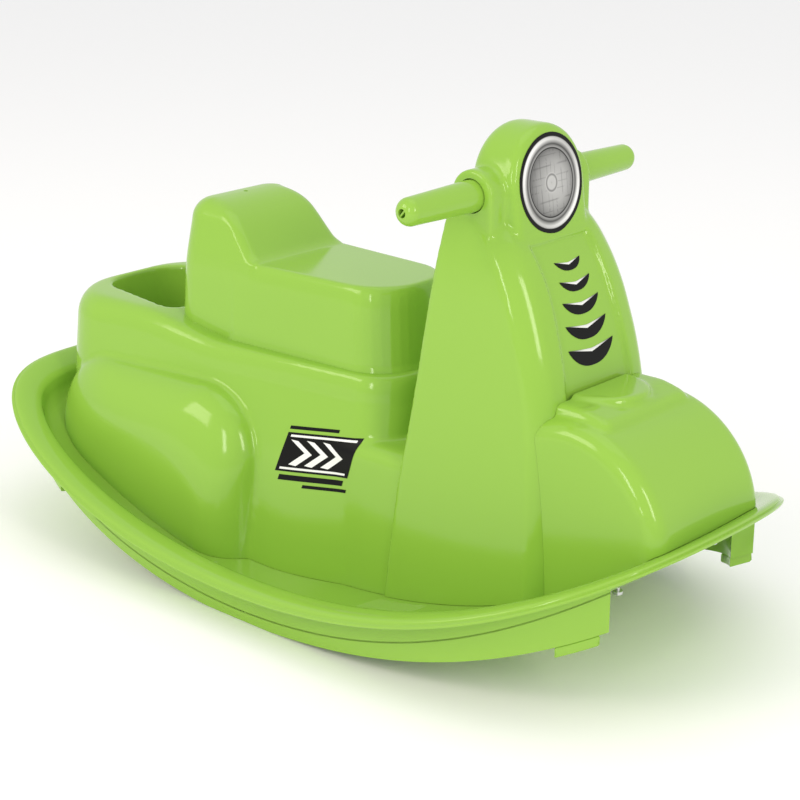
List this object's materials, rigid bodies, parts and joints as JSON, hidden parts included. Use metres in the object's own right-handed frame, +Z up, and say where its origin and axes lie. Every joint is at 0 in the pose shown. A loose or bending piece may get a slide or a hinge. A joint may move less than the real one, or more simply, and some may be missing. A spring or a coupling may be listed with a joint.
{
  "type": "rocking scooter",
  "caption": "Child's ride-on rocker shaped as a motor scooter, on a boat-shaped base with a rolled rim and two curved runners.",
  "frame": {"origin": "on the ground, under the middle of the length and width", "axes": "+X to the front, +Y to the rider's left, +Z up"},
  "size_m": [0.743, 0.392, 0.423],
  "materials": {
    "green_plastic": "smooth blown plastic with a soft gloss",
    "black_film": "printed sticker",
    "silver_film": "printed sticker",
    "steel": "zinc-plated steel"
  },
  "bodies": {
    "root": {"rocker_base": "green_plastic", "seat_body": "green_plastic", "seat_with_backrest": "green_plastic", "leg_shield": "green_plastic", "mudguard": "green_plastic", "cross_tube": "steel", "headlight_sticker": "silver_film", "handle_left": "green_plastic", "stop_foot_front_left": "green_plastic", "stop_foot_rear_left": "green_plastic", "side_sticker_left": "black_film", "handle_right": "green_plastic", "stop_foot_front_right": "green_plastic", "stop_foot_rear_right": "green_plastic", "side_sticker_right": "black_film", "vent_sticker_1": "black_film", "vent_sticker_2": "black_film", "vent_sticker_3": "black_film", "vent_sticker_4": "black_film", "vent_sticker_5": "black_film", "floor_screw_1": "steel", "floor_screw_2": "steel", "floor_screw_3": "steel", "floor_screw_4": "steel", "floor_screw_5": "steel", "floor_screw_6": "steel", "floor_screw_7": "steel", "floor_screw_8": "steel", "seat_screw_1": "steel", "seat_screw_2": "steel"}
  },
  "joints": []
}
